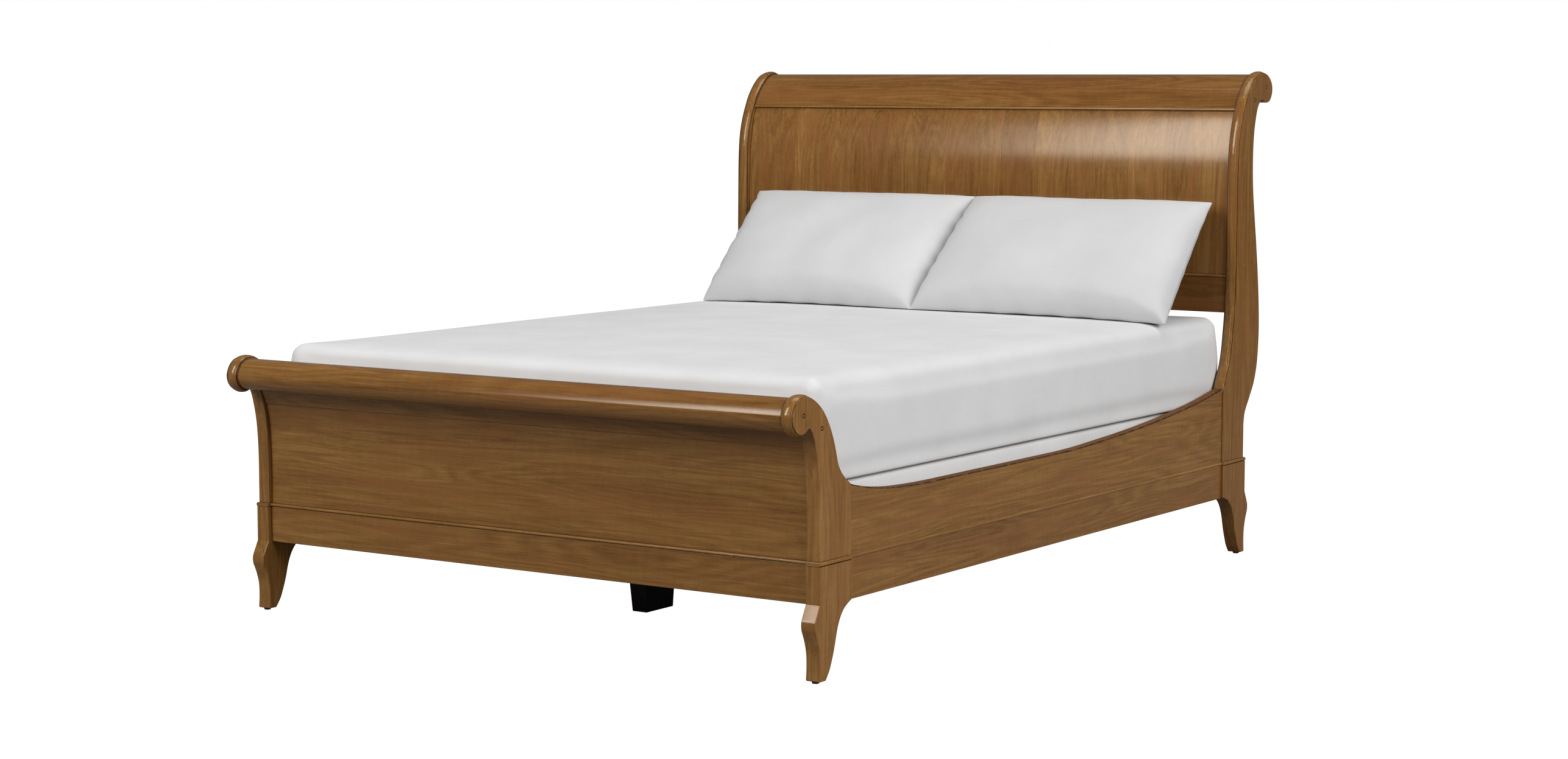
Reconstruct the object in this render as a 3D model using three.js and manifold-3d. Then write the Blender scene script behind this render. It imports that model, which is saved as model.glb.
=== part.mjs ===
// Sleigh bed with mattress, foundation and two pillows.
// Millimetres, +Z up. The foot end faces -Y, and left and right are as seen from the foot.
// Heights are from the floor. Lengths run along Y from the front face of the foot legs, and in the
// headboard from the front face of its leg blocks. The whole bed is then moved to stand centred.
import * as THREE from 'three';
import { mergeVertices } from 'three/addons/utils/BufferGeometryUtils.js';
import Module from 'manifold-3d';

const wasm = await Module();
wasm.setup();

// ---- driving dimensions ----
const gap = 0.3;                 // between touching pieces
const outer = 849;               // bed centre to the outer face of a leg
const legThick = 38.5;
const postThick = 34.5;
const inner = outer - legThick;  // bed centre to the inner face of legs and posts
const span = 2 * (inner - gap);  // length of every piece between the posts

const footDepth = 133;           // foot leg block, front to back
const headFront = 2061;          // front of the head leg blocks
const headDepth = 141.5;         // head leg block, front to back
const footScroll = -103;         // furthest point of the foot scroll
const headScroll = headFront + 292;
const middle = (footScroll + headScroll) / 2;

const collarLow = 264.5;
const collarHigh = 10;
const collarProud = 1;
const postLow = collarLow + collarHigh + gap;
const glideHigh = 5;
const glideRadius = 9;
const glideIn = 12;               // from the end face of the leg to the middle of its glide

const railThick = 25;
const railRecess = 8;            // rail face behind the leg face
const railLow = 172;
const railStart = footDepth + gap / 2;
const railEnd = headFront - gap / 2;
const railFace = outer - railRecess;
const beadHigh = 7.2;
const beadLow = 266.2;

const cleat = 25;
const cleatLow = 179;
const slatThick = 19;
const slatWide = 140;
const slatLow = cleatLow + cleat + gap;
const slatPlaces = [180, 566, 1085, 1604, 1990];

const bedLow = slatLow + slatThick + gap;
const foundation = { half: 790, start: 62, end: 2098, high: 208.5, corner: 30, edge: 7 };
const mattress = { half: 803, start: 57, end: 2130, high: 240, corner: 64, edge: 42 };
const mattressLow = bedLow + foundation.high + 1;
const pillow = { wide: 760, deep: 463, thick: 165, tilt: 43.7, centreY: 1957, centreZ: 855 };
const pillowPlaces = { left: -382, right: 395 };

const plugRadius = 4;
const plugLong = 10;
const plugSides = 16;

// ---- finishes ----
const wood = { color: 0x7d5a32, roughness: 0.38, metalness: 0 };
const slatWood = { color: 0xc9a777, roughness: 0.7, metalness: 0 };
const darkWood = { color: 0x1d130e, roughness: 0.55, metalness: 0 };
const steel = { color: 0x6f7073, roughness: 0.4, metalness: 1 };
const plastic = { color: 0x1c1c1c, roughness: 0.6, metalness: 0 };
const cotton = { color: 0xdedede, roughness: 0.9, metalness: 0 };

// ---- helpers ----
const bed = new THREE.Group();
const footEnd = new THREE.Group();
const headEnd = new THREE.Group();
bed.add(footEnd, headEnd);
bed.position.y = -middle;
headEnd.position.y = headFront;

// profile axes (length, height) become Y and Z, and the depth of the extrusion becomes X
const sideways = new THREE.Matrix4().makeBasis(
  new THREE.Vector3(0, 1, 0), new THREE.Vector3(0, 0, 1), new THREE.Vector3(1, 0, 0));

function add(group, name, geometry, finish) {
  const mesh = new THREE.Mesh(geometry, new THREE.MeshStandardMaterial(finish));
  mesh.name = name;
  group.add(mesh);
  return mesh;
}

// An outline is a list of stretches: two points make a line, more make a smooth curve.
function outline(stretches) {
  const shape = new THREE.Shape();
  shape.moveTo(...stretches[0][0]);
  for (const points of stretches) {
    const rest = points.slice(1).map(([y, z]) => new THREE.Vector2(y, z));
    if (rest.length === 1) shape.lineTo(rest[0].x, rest[0].y);
    else shape.splineThru(rest);
  }
  return shape;
}

function across(shape, x, thick, fine = 3) {
  const how = { depth: thick, bevelEnabled: false, curveSegments: fine };
  return new THREE.ExtrudeGeometry(shape, how).applyMatrix4(sideways).translate(x, 0, 0);
}

function block(x0, x1, y0, y1, z0, z1) {
  const geometry = new THREE.BoxGeometry(x1 - x0, y1 - y0, z1 - z0);
  return geometry.translate((x0 + x1) / 2, (y0 + y1) / 2, (z0 + z1) / 2);
}

function solid(geometry) {
  const bare = geometry.clone();
  bare.deleteAttribute('normal');
  bare.deleteAttribute('uv');
  const merged = mergeVertices(bare, 1e-4);
  const vertProperties = new Float32Array(merged.attributes.position.array);
  const triVerts = new Uint32Array(merged.index.array);
  return new wasm.Manifold(new wasm.Mesh({ numProp: 3, vertProperties, triVerts }));
}

function surface(body) {
  const mesh = body.getMesh();
  const geometry = new THREE.BufferGeometry();
  geometry.setAttribute('position', new THREE.BufferAttribute(mesh.vertProperties, 3));
  geometry.setIndex(new THREE.BufferAttribute(mesh.triVerts, 1));
  geometry.computeVertexNormals();
  return geometry;
}

const cut = (geometry, ...tools) =>
  surface(tools.map(solid).reduce((body, tool) => body.subtract(tool), solid(geometry)));
const join = (...pieces) => surface(pieces.map(solid).reduce((body, piece) => body.add(piece)));

function ring(y, z, radius) {
  const points = Array.from({ length: plugSides }, (_, i) => {
    const turn = 2 * Math.PI * i / plugSides;
    return new THREE.Vector2(y + radius * Math.cos(turn), z + radius * Math.sin(turn));
  });
  return new THREE.Path(points);
}

const sides = [['left', -1], ['right', 1]];
// where an x interval lies on the left or the right side
const mirrored = (side, low, high) => side > 0 ? [low, high] : [-high, -low];

// ---- rail hooks: a plate let into the rail's end, with two hooks that drop into the post ----
const hook = { wide: 16, plate: 3, high: 120, low: 215, prong: 4, reach: 11, drop: 9, tall: 22 };
const hookX = railFace - railThick / 2;
const hookHeights = [226, 296];  // underside of each prong's root

// `way` is +1 where the rail runs towards +Y from the joint, -1 where it runs towards -Y
function hookPlate(x, y, way) {
  const plateY = [y + way * gap, y + way * (gap + hook.plate)].sort((a, b) => a - b);
  const plate = block(x - hook.wide / 2, x + hook.wide / 2, ...plateY, hook.low, hook.low + hook.high);
  const prongs = hookHeights.map((z) => across(outline([
    [[y + way * (gap + 1), z], [y - way * (hook.reach - 5), z]],
    [[y - way * (hook.reach - 5), z], [y - way * (hook.reach - 5), z - hook.drop]],
    [[y - way * (hook.reach - 5), z - hook.drop], [y - way * hook.reach, z - hook.drop]],
    [[y - way * hook.reach, z - hook.drop], [y - way * hook.reach, z + hook.tall]],
    [[y - way * hook.reach, z + hook.tall], [y + way * (gap + 1), z + hook.tall]],
  ]), x - hook.prong / 2, hook.prong));
  return join(plate, ...prongs);
}

// clearance in the post for one prong
function hookSlot(x, y, way, z) {
  const depth = [y + way, y - way * (hook.reach + 1)].sort((a, b) => a - b);
  return block(x - hook.prong, x + hook.prong, ...depth, z - hook.drop - 2, z + hook.tall + 2);
}

// pocket in the rail's end for the plate
function hookPocket(x, y, way) {
  const depth = [y - way, y + way * (2 * gap + hook.plate)].sort((a, b) => a - b);
  const half = hook.wide / 2 + gap;
  return block(x - half, x + half, ...depth, hook.low - gap, hook.low + hook.high + gap);
}

// ---- legs ----
// `at` places a point given as (distance from the outer end face, height)
function legShape(depth, at) {
  const top = collarLow - gap;
  const foot = glideHigh + gap;
  const face = [[-16.5, 146], [-19.3, 137], [-18.6, 123], [-13.2, 110.6], [-8.5, 100], [-3.8, 86], [0, 72],
    [1.9, 54.6], [1.9, 30], [0.8, 16], [0, foot + 2]];
  const back = [[25, foot], [33, 15], [42.4, 28.5], [51, 47.6], [58.6, 67], [64.8, 86.7],
    [70.5, 107], [77.5, 125], [87, 142], [101, 157.5], [117, 167], [depth, 174.5]];
  const stretches = [
    [[0, top], [0, 178]],
    [[0, 178], face[0]],               // the flat facet of the knee
    face,
    [face.at(-1), [2, foot]],
    [[2, foot], back[0]],
    back,
    [back.at(-1), [depth, top]],
    [[depth, top], [0, top]],
  ];
  return outline(stretches.map((points) => points.map(at)));
}

function legs(end, group, depth, at, way, joint) {
  for (const [name, side] of sides) {
    const [x0] = mirrored(side, inner, outer);
    const leg = across(legShape(depth, at), x0, legThick);
    const slot = hookSlot(side * hookX, joint, way, hookHeights[0]);
    add(group, `${end}_leg_${name}`, cut(leg, slot), wood);

    const glide = new THREE.CylinderGeometry(glideRadius, glideRadius - 1, glideHigh, 24);
    const [glideY] = at([glideIn, 0]);
    glide.rotateX(Math.PI / 2).translate(side * (inner + outer) / 2, glideY, glideHigh / 2);
    add(group, `${end}_glide_${name}`, glide, plastic);
  }
}

// A collar stands a little proud of the leg on its outer faces.
function collars(end, group, depth, at) {
  const [low, high] = [at([-collarProud, 0])[0], at([depth, 0])[0]].sort((a, b) => a - b);
  for (const [name, side] of sides) {
    const ease = 3;
    const outerX = side * (outer + collarProud);
    const profile = outline([
      [[side * inner, 0], [outerX - side * ease, 0]],
      [[outerX - side * ease, 0], [outerX, ease]],
      [[outerX, ease], [outerX, collarHigh - ease]],
      [[outerX, collarHigh - ease], [outerX - side * ease, collarHigh]],
      [[outerX - side * ease, collarHigh], [side * inner, collarHigh]],
      [[side * inner, collarHigh], [side * inner, 0]],
    ]);
    const geometry = new THREE.ExtrudeGeometry(profile, { depth: high - low, bevelEnabled: false });
    geometry.rotateX(Math.PI / 2).translate(0, high, collarLow);
    add(group, `${end}_collar_${name}`, geometry, wood);
  }
}

// ---- posts, with the screw holes at their scrolls and the plugs that close them ----
function posts(end, group, stretches, holes, way, joint) {
  const shape = outline(stretches);
  shape.holes = holes.map(([y, z]) => ring(y, z, plugRadius + 0.5));
  for (const [name, side] of sides) {
    const [x0] = mirrored(side, inner, inner + postThick);
    const slot = hookSlot(side * hookX, joint, way, hookHeights[1]);
    add(group, `${end}board_post_${name}`, cut(across(shape, x0, postThick), slot), wood);
    holes.forEach(([y, z], i) => {
      const plug = new THREE.CylinderGeometry(plugRadius, plugRadius, plugLong, plugSides);
      plug.rotateZ(Math.PI / 2).translate(side * (inner + postThick - plugLong / 2), y, z);
      add(group, `${end}board_plug_${name}_${i + 1}`, plug, wood);
    });
  }
}

const footPost = [
  [[footDepth, postLow], [footDepth, 437]],
  [[footDepth, 437], [112.6, 450], [96, 465], [84, 481], [76.5, 500], [70, 522], [59.5, 549], [44.5, 578.5],
    [24.6, 606.5], [0, 628], [-24.6, 642.2], [-45, 648.2], [-65.8, 647.5], [-82, 640.7], [-94, 628.6],
    [-101, 614.5], [footScroll, 602], [-99.5, 588], [-89, 574.5], [-75, 567], [-60, 566.5], [-48, 571.5],
    [-36, 578.2]],
  [[-36, 578.2], [-28, 571], [-21, 560.5], [-15, 546], [-9.5, 526], [-3.6, 499], [1, 466], [4, 425],
    [5.2, 375], [5, 330]],
  [[5, 330], [5, postLow]],
  [[5, postLow], [footDepth, postLow]],
];

// from the front of the head leg block
const headPost = [
  [[0, postLow], [0, 468]],
  [[0, 468], [8, 487], [20.5, 511], [38.5, 543], [51.5, 585], [59.5, 630], [66.5, 674], [71, 725], [74, 790],
    [75, 900], [76.5, 1010], [77.8, 1085], [83.3, 1155], [96, 1207], [114, 1250], [135, 1288], [166, 1323.5],
    [198, 1346], [227, 1353], [246, 1351.5], [264, 1345], [280, 1333.5], [289.5, 1320], [292, 1304],
    [286.6, 1288], [274.8, 1275], [258.6, 1270], [242, 1272.5], [221.6, 1280]],
  [[221.6, 1280], [208, 1270], [195, 1252], [184, 1222], [174.5, 1178], [170.4, 1110], [174, 1035],
    [185.4, 961], [200.8, 875], [214.3, 788], [224, 701], [227, 622], [219, 540], [200, 484], [174, 445],
    [152, 416], [140, 395], [135, 368]],
  [[135, 368], [135, postLow]],
  [[135, postLow], [0, postLow]],
];

// ---- footboard, between the foot posts ----
function footboard() {
  const x = -span / 2;
  const beadTop = beadLow + beadHigh;
  const panelLow = beadTop + gap;
  const rollLow = 582;
  const roll = outline([
    [[38.5, rollLow], [21.8, 603.8], [-2.3, 624.6], [-26, 638.2], [-45, 644.2], [-65, 643.6], [-79.5, 637.5],
      [-90.5, 626.5], [-97, 613.5], [-99, 602.5], [-95.6, 589.8], [-86.5, 577.8], [-74, 571], [-61, 570.5],
      [-50, 575], [-38, rollLow]],
    [[-38, rollLow], [38.5, rollLow]],
  ]);
  const cove = outline([
    [[-0.3, rollLow - gap], [-31, rollLow - gap]],
    [[-31, rollLow - gap], [-22.5, 571], [-15, 557], [-8.5, 542], [-3.5, 528]],
    [[-3.5, 528], [-0.3, 528]],
    [[-0.3, 528], [-0.3, rollLow - gap]],
  ]);
  const panelFront = [[14.5, panelLow], [15.5, 330], [15.4, 380], [14, 430], [11.5, 464], [7.5, 493],
    [0, 527]];
  const panelBack = [[20, rollLow - gap], [22, 540], [25.5, 511], [31, 470], [34.5, 425], [35.5, 365],
    [34.5, panelLow]];
  const panel = outline([
    panelFront, [[0, 527], [0, rollLow - gap]], [[0, rollLow - gap], panelBack[0]], panelBack,
    [panelBack.at(-1), panelFront[0]],
  ]);
  add(footEnd, 'footboard_roll', across(roll, x, span), wood);
  add(footEnd, 'footboard_cove', across(cove, x, span), wood);
  add(footEnd, 'footboard_panel', across(panel, x, span), wood);
  add(footEnd, 'footboard_bead', across(nosed(8, 37, beadLow, beadTop), x, span), wood);
  add(footEnd, 'footboard_apron', block(x, -x, 12, 37, 176, beadLow - gap), wood);
}

// A strip with a rounded front edge at y0.
function nosed(y0, y1, z0, z1, nose = (z1 - z0) / 2) {
  const shape = new THREE.Shape();
  shape.moveTo(y1, z0);
  shape.lineTo(y1, z1);
  shape.absellipse(y0 + nose, (z0 + z1) / 2, nose, (z1 - z0) / 2, Math.PI / 2, 1.5 * Math.PI, false, 0);
  shape.closePath();
  return shape;
}

// ---- headboard, between the head posts ----
function headboard() {
  const x = -span / 2;
  const crestLow = 1255.5;
  const crestBead = crestLow - gap - beadHigh;
  const panelHigh = crestBead - gap;
  const panelLow = 791.7;
  const railBead = panelLow - gap - beadHigh;
  const crest = outline([
    [[120.5, crestLow], [138, 1284.5], [168.5, 1319.5], [200, 1341.8], [227, 1349], [245, 1347.5],
      [261.5, 1341], [276.5, 1330.5], [285.5, 1318.5], [288, 1305], [283, 1290.5], [272.5, 1278.8],
      [258.5, 1274], [243, 1276.5], [225, 1283.5]],
    [[225, 1283.5], [205, 1276], [186, 1264], [166, crestLow]],
    [[166, crestLow], [120.5, crestLow]],
  ]);
  const front = [[84.3, panelLow], [85, 900], [86.6, 1010], [89, 1080], [95, 1140], [103.5, 1188],
    [112, 1219], [123, panelHigh]];
  const back = [[146, panelHigh], [133, 1211], [124, 1180], [115.5, 1136], [109.2, 1080], [106.6, 1010],
    [105, 900], [104.3, panelLow]];
  const panel = outline([front, [front.at(-1), back[0]], back, [back.at(-1), front[0]]]);
  const lowerFront = [[74, 686], [79, 733], [82.5, railBead - gap]];
  const lowerBack = lowerFront.map(([y, z]) => [y + 28, z]).reverse();
  const lower = outline([
    lowerFront, [lowerFront.at(-1), lowerBack[0]], lowerBack, [lowerBack.at(-1), lowerFront[0]],
  ]);
  add(headEnd, 'headboard_crest_rail', across(crest, x, span), wood);
  add(headEnd, 'headboard_crest_bead', across(nosed(116.5, 152, crestBead, crestLow - gap), x, span), wood);
  add(headEnd, 'headboard_panel', across(panel, x, span), wood);
  add(headEnd, 'headboard_lower_bead', across(nosed(80, 111, railBead, panelLow - gap), x, span), wood);
  add(headEnd, 'headboard_lower_rail', across(lower, x, span), wood);
  add(headEnd, 'headboard_stretcher', block(x, -x, 60, 85, 300, 390), wood);
}

// ---- side rails, with their beads and the cleats that carry the slats ----
function sideRails() {
  const low = [railStart, 437];
  const high = [railEnd, 480];
  const shape = outline([
    [[railStart, railLow], low],
    [low, [160, 430], [196, 423], [248, 414.6], [320, 407], [420, 402.5], [520, 401]],
    [[520, 401], [1120, 401]],
    [[1120, 401], [1220, 402.5], [1330, 407.5], [1483, 415.5], [1659, 428.4], [1842, 447.3], [1955, 462],
      high],
    [high, [railEnd, railLow]],
    [[railEnd, railLow], [railStart, railLow]],
  ]);
  for (const [name, side] of sides) {
    const [x0] = mirrored(side, railFace - railThick, railFace);
    const pockets = [hookPocket(side * hookX, railStart, 1), hookPocket(side * hookX, railEnd, -1)];
    add(bed, `side_rail_${name}`, cut(across(shape, x0, railThick), ...pockets), wood);

    const bead = nosed(-3.3, -gap, 0, beadHigh, 2.5);
    const how = { depth: railEnd - railStart, bevelEnabled: false, curveSegments: 3 };
    const strip = new THREE.ExtrudeGeometry(bead, how);
    strip.rotateX(Math.PI / 2).rotateZ(side > 0 ? Math.PI : 0);
    strip.translate(side * railFace, side > 0 ? railStart : railEnd, beadLow);
    add(bed, `side_rail_bead_${name}`, strip, wood);

    const face = railFace - railThick - gap;
    const [c0, c1] = mirrored(side, face - cleat, face);
    add(bed, `slat_cleat_${name}`, block(c0, c1, 160, 2040, cleatLow, cleatLow + cleat), slatWood);

    const place = [['foot', railStart, 1], ['head', railEnd, -1]];
    for (const [end, y, way] of place) {
      add(bed, `rail_hook_${end}_${name}`, hookPlate(side * hookX, y, way), steel);
    }
  }
}

// ---- slats and the three legs under the middle ones ----
function supports() {
  const half = inner - 3;
  slatPlaces.forEach((y, i) => {
    const slat = block(-half, half, y - slatWide / 2, y + slatWide / 2, slatLow, slatLow + slatThick);
    add(bed, `slat_${i + 1}`, slat, slatWood);
  });
  slatPlaces.slice(1, -1).forEach((y, i) => {
    // upright on its inner and front faces, and flared upwards on the other two
    const high = slatLow - gap;
    const front = y - 61;
    const leg = new THREE.CylinderGeometry(Math.SQRT1_2, Math.SQRT1_2, high, 4, 1);
    leg.rotateY(Math.PI / 4).rotateX(Math.PI / 2).translate(0, 0, high / 2);
    const place = leg.attributes.position;
    for (let k = 0; k < place.count; k++) {
      const up = place.getZ(k) / high;
      const wide = 45 + 25 * up;
      const deep = 114 + 22 * up;
      place.setXY(k, (place.getX(k) - 0.5) * wide, front + (place.getY(k) + 0.5) * deep);
    }
    leg.computeVertexNormals();
    add(bed, `centre_leg_${i + 1}`, leg, darkWood);
  });
}

// ---- foundation, mattress and pillows ----
function cushion({ half, start, end, high, corner, edge }, low) {
  const wide = half - edge;
  const y0 = start + edge;
  const y1 = end - edge;
  const turn = corner - edge;
  const shape = new THREE.Shape();
  shape.absarc(wide - turn, y0 + turn, turn, -Math.PI / 2, 0, false);
  shape.absarc(wide - turn, y1 - turn, turn, 0, Math.PI / 2, false);
  shape.absarc(-wide + turn, y1 - turn, turn, Math.PI / 2, Math.PI, false);
  shape.absarc(-wide + turn, y0 + turn, turn, Math.PI, 1.5 * Math.PI, false);
  shape.closePath();
  const geometry = new THREE.ExtrudeGeometry(shape, {
    depth: high - 2 * edge, bevelSize: edge, bevelThickness: edge, bevelSegments: 3, curveSegments: 4,
  });
  return geometry.translate(0, 0, low + edge);
}

// A pillow is fullest in the middle and thins to a seam all round.
function pillowShape() {
  const { wide, deep, thick } = pillow;
  const geometry = new THREE.BoxGeometry(2, 2, 2, 10, 8, 1);
  const place = geometry.attributes.position;
  for (let k = 0; k < place.count; k++) {
    const u = place.getX(k);
    const v = place.getY(k);
    const full = Math.sqrt((1 - 0.94 * u ** 4) * (1 - 0.94 * v ** 4));
    place.setXYZ(k, u * wide / 2, v * deep / 2, place.getZ(k) * thick / 2 * full);
  }
  return geometry.rotateX(THREE.MathUtils.degToRad(pillow.tilt)).translate(0, pillow.centreY, pillow.centreZ);
}

function bedding() {
  add(bed, 'foundation', cushion(foundation, bedLow), cotton);
  add(bed, 'mattress', cushion(mattress, mattressLow), cotton);
  for (const [name, x] of Object.entries(pillowPlaces)) {
    add(bed, `pillow_${name}`, pillowShape(), cotton).position.x = x;
  }
}

const fromFace = ([y, z]) => [y, z];
const fromBack = ([y, z]) => [headDepth - y, z];
legs('foot', footEnd, footDepth, fromFace, 1, footDepth);
legs('head', headEnd, headDepth, fromBack, -1, 0);
collars('foot', footEnd, footDepth, fromFace);
collars('head', headEnd, headDepth, fromBack);
posts('foot', footEnd, footPost, [[-59.5, 607.4], [13.8, 572.5]], 1, footDepth);
posts('head', headEnd, headPost, [[252.8, 1313.8], [177.3, 1278.5]], -1, 0);
footboard();
headboard();
sideRails();
supports();
bedding();

export default bed;
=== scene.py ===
import math
import bmesh
import bpy
from mathutils import Matrix, Vector, noise


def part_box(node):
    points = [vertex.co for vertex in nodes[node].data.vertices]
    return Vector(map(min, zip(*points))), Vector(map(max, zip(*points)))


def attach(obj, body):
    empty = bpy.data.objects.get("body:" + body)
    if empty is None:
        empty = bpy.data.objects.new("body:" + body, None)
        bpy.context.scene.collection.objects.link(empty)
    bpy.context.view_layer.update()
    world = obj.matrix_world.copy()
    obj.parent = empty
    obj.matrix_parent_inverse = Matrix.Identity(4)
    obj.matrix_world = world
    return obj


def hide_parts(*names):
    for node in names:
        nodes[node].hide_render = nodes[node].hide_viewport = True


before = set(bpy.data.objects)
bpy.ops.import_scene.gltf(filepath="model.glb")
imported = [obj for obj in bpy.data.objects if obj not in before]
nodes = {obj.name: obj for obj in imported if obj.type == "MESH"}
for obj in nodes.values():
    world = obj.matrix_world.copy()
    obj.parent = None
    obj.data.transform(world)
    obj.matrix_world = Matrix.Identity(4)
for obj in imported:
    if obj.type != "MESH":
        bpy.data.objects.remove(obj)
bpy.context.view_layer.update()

mm = 0.001


# camera, lights and floor

camera = {
    "place": (4.388, -6.567, 1.35),
    "turn": 33.74,       # degrees to the left of the bed's length
    "down": 5.87,
    "lens": 68.19,       # on a sensor 36 mm wide
}

studio = {
    "skyStrength": 0.14,
    "backdrop": "ffffff",
    "floor": "fdfdfd",
    "floorGlow": 0.8,      # share of the floor's brightness that no shadow takes away
    "glowStrength": 1.27,
    "floorSize": 120,
    "floorInReflections": (0.25, 0.25, 0.25, 1),   # what the bed sees of the floor is greyer
    # name: place, aimed at, width, height, brightness
    "lamps": {
        "frontSoftbox": ((-2.75, -6.5, 5.1), (-2.75, 0.0, 5.1), 2.4, 5.2, 9.5),
        "fillSoftbox": ((-4.3, -6.5, 5.1), (-4.3, 0.0, 5.1), 0.7, 5.2, 2.4),
        "stripSoftbox": ((1.3, -7.5, 4.4), (1.3, 0.0, 4.4), 0.45, 5.6, 8.0),
        "sideSoftbox": ((8.4, -1.6, 4.6), (0.6, 0.0, 0.5), 6.0, 4.0, 7.6),
        "overheadSoftbox": ((0.6, 0.3, 6.2), (0.2, 0.0, 0.4), 3.0, 3.2, 3.0),
    },
}


def toLinear(hexColour):
    parts = [int(hexColour[i:i + 2], 16) / 255 for i in (0, 2, 4)]
    return tuple(c / 12.92 if c <= 0.04045 else ((c + 0.055) / 1.055) ** 2.4 for c in parts) + (1.0,)


def addNode(tree, kind, settings=None):
    # a setting is a value or another node's output, and "stops" are the places and colours of a ramp
    node = tree.nodes.new("ShaderNode" + kind)
    for name, value in (settings or {}).items():
        if isinstance(value, bpy.types.NodeSocket):
            tree.links.new(value, node.inputs[name])
        elif name == "stops":
            keys = node.color_ramp.elements
            keys[0].position, keys[1].position = value[0][0], value[-1][0]
            keys[0].color, keys[1].color = toLinear(value[0][1]), toLinear(value[-1][1])
            for place, colour in value[1:-1]:
                keys.new(place).color = toLinear(colour)
        elif isinstance(name, int) or name in node.inputs:
            node.inputs[name].default_value = value
        else:
            setattr(node, name, value)
    return node


def addCamera():
    bpy.ops.object.camera_add(location=camera["place"])
    view = bpy.context.object
    view.name = "camera"
    view.rotation_euler = (math.radians(90 - camera["down"]), 0, math.radians(camera["turn"]))
    view.data.lens = camera["lens"]
    view.data.sensor_width = 36
    view.data.sensor_fit = "HORIZONTAL"
    view.data.clip_end = 200
    bpy.context.scene.camera = view


def addStudio():
    for name, (place, target, wide, high, brightness) in studio["lamps"].items():
        bpy.ops.object.light_add(type="AREA", location=place)
        lamp = bpy.context.object
        lamp.name = name
        lamp.rotation_euler = (Vector(target) - Vector(place)).to_track_quat("-Z", "Y").to_euler()
        lamp.data.shape = "RECTANGLE"
        lamp.data.size = wide
        lamp.data.size_y = high
        lamp.data.energy = brightness * wide * high * math.pi

    world = bpy.data.worlds.new("studioAir")
    bpy.context.scene.world = world
    world.use_nodes = True
    tree = world.node_tree
    tree.nodes.clear()
    path = addNode(tree, "LightPath").outputs["Is Camera Ray"]
    sky = addNode(tree, "Background", {"Color": (1, 1, 1, 1), "Strength": studio["skyStrength"]})
    seen = addNode(tree, "Background", {"Color": toLinear(studio["backdrop"]), "Strength": 1.0})
    mix = addNode(tree, "MixShader", {0: path, 1: sky.outputs[0], 2: seen.outputs[0]})
    addNode(tree, "OutputWorld", {"Surface": mix.outputs[0]})

    bpy.ops.mesh.primitive_plane_add(size=studio["floorSize"])
    floor = bpy.context.object
    floor.name = "floor"
    look = bpy.data.materials.new("paleFloor")
    look.use_nodes = True
    tree = look.node_tree
    tree.nodes.clear()
    path = addNode(tree, "LightPath").outputs["Is Camera Ray"]
    shade = toLinear(studio["floor"])
    pale = addNode(tree, "BsdfDiffuse", {"Color": shade})
    glow = addNode(tree, "Emission", {"Color": shade, "Strength": studio["glowStrength"]})
    lit = addNode(tree, "MixShader", {0: studio["floorGlow"], 1: pale.outputs[0], 2: glow.outputs[0]})
    dim = addNode(tree, "BsdfDiffuse", {"Color": studio["floorInReflections"]})
    both = addNode(tree, "MixShader", {0: path, 1: dim.outputs[0], 2: lit.outputs[0]})
    addNode(tree, "OutputMaterial", {"Surface": both.outputs[0]})
    floor.data.materials.append(look)

    bpy.context.scene.view_settings.view_transform = "Standard"


addCamera()
addStudio()
print("camera and studio are set")


# materials

frameWood = {
    # close-grained hardwood, stained a warm brown and sprayed with satin lacquer
    "deep": "6e451e",
    "body": "885f2f",
    "pale": "a47843",
    "shades": (0.26, 0.5, 0.76),         # where the three stand on the shade's scale
    "reddish": "89582e",
    "glaze": "1f130a",                   # dark glaze wiped into the joints and pores, also laid into shaded corners as painted shade
    "lacquer": (1.0, 0.88, 0.72, 1.0),   # the amber lacquer warms what it reflects
    # patterns, in mm along and across the grain, with what each adds to the shade
    "tone": (1100, 95),       # broad shade changes
    "toneShare": 0.42,
    "rings": 5.5,             # growth lines over one such change
    "ringShare": 0.11,
    "streak": (520, 5.5),
    "streakShare": 0.5,
    "fibre": (120, 1.5),
    "fibreShare": 0.46,
    "mottle": (16, 42),       # the soft cross figure
    "mottleShare": 0.12,
    "plank": 96,              # width of the panel's planks
    "plankShare": 0.12,
    "pore": (11, 1.1),        # real pores are 0.2 mm wide, drawn wider so that they show
    "hue": (700, 60),         # where it turns reddish
    "warp": (520, 170),       # how the grain wanders
    "warpBy": 26,
    "swell": (190, 38),       # slow waves in the lacquer
    "speck": 46,              # one distress mark at most in a cell of this size
    "speckRadius": 1.1,
    # reach of the ambient-occlusion darkening: glaze plus painted corner shade
    "glazeAndShadeReach": 6,
    "satin": 0.125,           # roughness of the lacquer, and what the figure adds to it
    "satinFigure": 0.05,
}


def startMaterial(name):
    look = bpy.data.materials.new(name)
    look.use_nodes = True
    return look, look.node_tree, look.node_tree.nodes["Principled BSDF"]


def weighted(tree, *pairs):
    # 0.5 plus each pattern's swing about its middle, times its weight
    total = 0.5
    for pattern, weight in pairs:
        swing = addNode(tree, "Math", {"operation": "SUBTRACT", 0: pattern, 1: 0.5}).outputs[0]
        swing = addNode(tree, "Math", {"operation": "MULTIPLY", 0: swing, 1: weight}).outputs[0]
        total = addNode(tree, "Math", {"operation": "ADD", 0: swing, 1: total}).outputs[0]
    return total


def grain(tree, place, along, size, detail=3.0, roughness=0.55):
    # noise drawn out along the grain; size is millimetres along and across it
    scale = [1 / (size[1] * mm)] * 3
    scale["xyz".index(along)] = 1 / (size[0] * mm)
    stretched = addNode(tree, "Mapping", {"Scale": scale, "Vector": place}).outputs[0]
    return addNode(tree, "TexNoise", {"Scale": 1.0, "Detail": detail, "Roughness": roughness,
                                      "Vector": stretched})


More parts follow.
